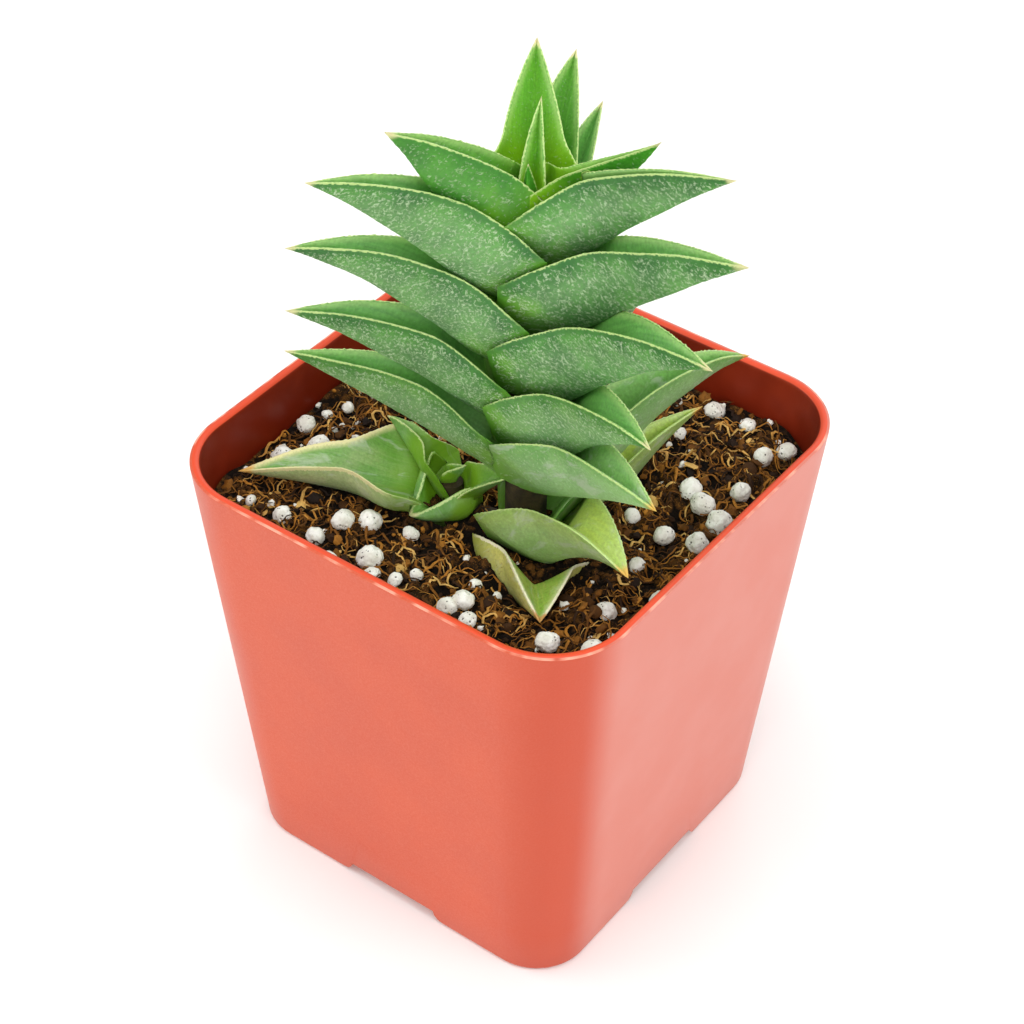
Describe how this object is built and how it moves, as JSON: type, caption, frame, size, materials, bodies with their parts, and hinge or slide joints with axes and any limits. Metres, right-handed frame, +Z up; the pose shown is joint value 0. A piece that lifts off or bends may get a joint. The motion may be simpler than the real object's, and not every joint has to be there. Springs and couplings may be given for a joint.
{
  "type": "potted haworthia",
  "caption": "Small square nursery pot of soil with an upright succulent: pointed, folded leaves in three turning ranks round a short stem, and a small offset.",
  "frame": {"origin": "on the surface the pot stands on, under the middle of the whole object; the pot's own middle is 2.5 mm towards -X", "axes": "+Z up; X and Y along the pot's sides, with the offset towards -X and the lowest leaf towards the +X -Y corner"},
  "size_m": [0.0691, 0.064, 0.1191],
  "materials": {
    "pot": "satin moulded terracotta-red polypropylene, thin and slightly translucent at the rim",
    "soil": "loose moist coir and bark potting mix, very rough, with coarse off-white perlite",
    "perlite": "rough porous off-white expanded grains",
    "stem": "dull scarred green-brown stem",
    "leaf": "firm mid-green skin, satin, rough with tiny raised white tubercles, pale toothed edges",
    "leaf_young": "fresh yellow-green skin, satin, with pale toothed edges",
    "leaf_old": "dull olive skin with corky tan scars and a dry tan point"
  },
  "bodies": {
    "root": {"pot": "pot", "soil": "soil", "stem": "stem", "pup_stem": "stem", "leaf_crown_1": "leaf_young", "leaf_crown_2": "leaf_young", "leaf_crown_3": "leaf_young", "leaf_right_1": "leaf_young", "leaf_right_2": "leaf", "leaf_right_3": "leaf", "leaf_right_4": "leaf", "leaf_right_5": "leaf", "leaf_right_6": "leaf", "leaf_right_7": "leaf_old", "leaf_right_8": "leaf_old", "leaf_left_1": "leaf_young", "leaf_left_2": "leaf", "leaf_left_3": "leaf", "leaf_left_4": "leaf", "leaf_left_5": "leaf", "leaf_back_1": "leaf_young", "leaf_back_2": "leaf", "leaf_back_3": "leaf", "leaf_back_4": "leaf", "leaf_back_5": "leaf", "leaf_back_6": "leaf", "leaf_back_7": "leaf_old", "pup_bud": "leaf_young", "pup_leaf_1": "leaf_young", "pup_leaf_2": "leaf_young", "pup_leaf_3": "leaf_young", "pup_leaf_4": "leaf_old"}
  },
  "joints": []
}
